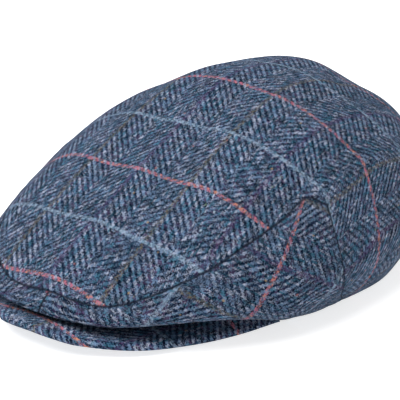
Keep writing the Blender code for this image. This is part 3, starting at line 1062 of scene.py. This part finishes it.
tweed = {
    "light": (0.09, 0.145, 0.235, 1.0),
    "pale": (0.29, 0.315, 0.4, 1.0),
    "teal": (0.04, 0.12, 0.185, 1.0),
    "dark": (0.007, 0.016, 0.044, 1.0),
    "black": (0.001, 0.003, 0.012, 1.0),
    "plum": (0.05, 0.03, 0.075, 1.0),
    "olive": (0.13, 0.1, 0.055, 1.0),
    "purple": (0.06, 0.02, 0.085, 1.0),
    "coral": (0.43, 0.135, 0.19, 1.0),
    "orange": (0.48, 0.2, 0.13, 1.0),
    "sky": (0.26, 0.36, 0.47, 1.0),
}
nap = {
    "mottle": 2.0,
    "cloud": 0.8,
    "bump": 0.9,
    "bumpDistance": 0.00035,
    "rise": (0.5, 1.3, 0.5),        # of the threads, the loose fibres and the wales
    "roughness": (0.3, 0.7, 0.82, 1.0),     # band of the fibres, and roughness over it
    "sheen": 0.03,
    "sheenRoughness": 0.5,
    "sheenTint": (0.6, 0.75, 1.0, 1.0),
    "specular": 0.02,
}


def paintedLightAndShade(cloth, paintedLightTone):
    # the same cloth a little darker as painted shade, or lighter as painted light
    return {name: (*[part * paintedLightTone for part in shade[:3]], 1.0) for name, shade in cloth.items()}


def tweedMaterial(name, form, side=1.0):
    # each piece gets its own copy of the cloth, darker for painted shade and lighter for painted light
    cloth = paintedLightAndShade(tweed, form["paintedLightTone"])
    material = bpy.data.materials.new(name)
    material.use_nodes = True
    tree = material.node_tree
    shader = tree.nodes["Principled BSDF"]

    def place(kind, values):
        node = tree.nodes.new("ShaderNodeGroup")
        node.node_tree = groups[kind]
        putAll(tree, values, node.inputs)
        return node.outputs

    chartNode = tree.nodes.new("ShaderNodeUVMap")
    chartNode.uv_map = "clothChart"
    moved = tree.nodes.new("ShaderNodeVectorMath")
    moved.operation = "ADD"
    tree.links.new(chartNode.outputs[0], moved.inputs[0])
    moved.inputs[1].default_value = (side * form["stripeShift"], 0.0, 0.0)
    weave = place("weave", {"Chart": moved.outputs[0]})
    threads = {"Across": weave["Across"], "Along": weave["Along"]}
    yarn = place("yarn", {
        **threads, "Warp": weave["Warp"], "Wale": weave["Wale"], "Float Number": weave["Float Number"],
        "Light Yarn": cloth["light"], "Pale Yarn": cloth["pale"], "Teal Yarn": cloth["teal"],
        "Dark Yarn": cloth["dark"], "Blue Black": cloth["black"], "Plum Yarn": cloth["plum"],
        "Mottle": nap["mottle"], "Cloud": nap["cloud"]})
    check = place("check", {
        **threads, "Warp": weave["Warp"], "Weft Start": form["firstCross"] / weftPitch,
        "First Warp": cloth["purple"], "Second Warp": cloth["olive"],
        "First Weft": cloth["coral"], "First Slub": cloth["orange"], "Second Weft": cloth["sky"]})
    fleck = place("fleck", {"Color": yarn["Color"], **threads})
    striped = mixColour(tree, check["Mask"], fleck["Color"], check["Color"])
    attribute = tree.nodes.new("ShaderNodeAttribute")
    attribute.attribute_name = "seamDistance"
    # rubbed wool beside the seams, and painted shade down in them
    wearAndShade = place("wearAndShade", {"Color": striped, "Seam Distance": attribute.outputs["Fac"]})
    bump = tree.nodes.new("ShaderNodeBump")
    bump.inputs["Strength"].default_value = nap["bump"]
    bump.inputs["Distance"].default_value = nap["bumpDistance"]
    threadRise, fibreRise, waleRise = nap["rise"]
    level = add(tree, times(tree, weave["Height"], threadRise), times(tree, yarn["Fibre"], fibreRise))
    tree.links.new(add(tree, level, times(tree, weave["Wale"], waleRise)), bump.inputs["Height"])
    tree.links.new(wearAndShade["Color"], shader.inputs["Base Color"])
    tree.links.new(remap(tree, yarn["Fibre"], *nap["roughness"]), shader.inputs["Roughness"])
    tree.links.new(bump.outputs[0], shader.inputs["Normal"])
    shader.inputs["Sheen Weight"].default_value = nap["sheen"]
    shader.inputs["Sheen Roughness"].default_value = nap["sheenRoughness"]
    shader.inputs["Sheen Tint"].default_value = nap["sheenTint"]
    shader.inputs["Specular IOR Level"].default_value = nap["specular"]
    material.diffuse_color = cloth["light"]
    return material


topMaterial = tweedMaterial("topPanelTweed", topForm)
leftMaterial = tweedMaterial("leftPanelTweed", sideForm)
rightMaterial = tweedMaterial("rightPanelTweed", sideForm, -1.0)
peakMaterial = tweedMaterial("peakTweed", peakForm)
print("materials ready")

lines = seamLines()
topPanel = makeTopPanel(topForm, lines, topMaterial)
print("top panel ready")
leftPanel = makeSidePanel(sideForm, "tweedSidePanelLeft", 1.0, lines, leftMaterial)
rightPanel = makeSidePanel(sideForm, "tweedSidePanelRight", -1.0, lines, rightMaterial)
peak = makePeak(peakForm, peakMaterial)
print("side panels and peak ready")

for piece, node, slotName in (
        (topPanel, "crown_top", "top_tweed"),
        (leftPanel, "side_panel_left", "side_tweed"),
        (rightPanel, "side_panel_right", "side_tweed"),
        (peak, "peak", "peak_tweed")):
    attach(piece, "root")
    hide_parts(node)

# floor and light

studio = {
    "floor": (0.62, 0.62, 0.62, 1.0),
    "floorRoughness": 0.9,
    "floorSpecular": 0.1,
    "glow": 0.72,
    "reach": 12.0,
    "white": (1.0, 1.0, 1.0, 1.0),
    "sky": 0.44,
    "sunStrength": 3.5,
    "sunSpread": 50.0,
    "sunTurn": -25.0,
    "sunRise": 65.0,
}


def makeFloor():
    data = bpy.data.meshes.new("floor")
    reach = studio["reach"]
    corners = [(-reach, -reach, 0.0), (reach, -reach, 0.0), (reach, reach, 0.0), (-reach, reach, 0.0)]
    data.from_pydata(corners, [], [(0, 1, 2, 3)])
    material = bpy.data.materials.new("paleFloor")
    material.use_nodes = True
    shader = material.node_tree.nodes["Principled BSDF"]
    shader.inputs["Base Color"].default_value = studio["floor"]
    shader.inputs["Emission Color"].default_value = studio["white"]
    shader.inputs["Emission Strength"].default_value = studio["glow"]
    shader.inputs["Roughness"].default_value = studio["floorRoughness"]
    shader.inputs["Specular IOR Level"].default_value = studio["floorSpecular"]
    data.materials.append(material)
    addObject("floor", data)


def makeLight():
    # one broad light from above and a little to the front, in an even pale room
    data = bpy.data.lights.new("broadLight", "SUN")
    data.energy = studio["sunStrength"]
    data.angle = math.radians(studio["sunSpread"])
    addFacing("broadLight", data, direction(studio["sunTurn"], studio["sunRise"]))
    world = bpy.data.worlds.new("studio")
    bpy.context.scene.world = world
    world.use_nodes = True
    background = world.node_tree.nodes["Background"]
    background.inputs["Color"].default_value = studio["white"]
    background.inputs["Strength"].default_value = studio["sky"]


makeFloor()
makeLight()
bpy.context.scene.view_settings.view_transform = "Standard"
print("floor and light ready")
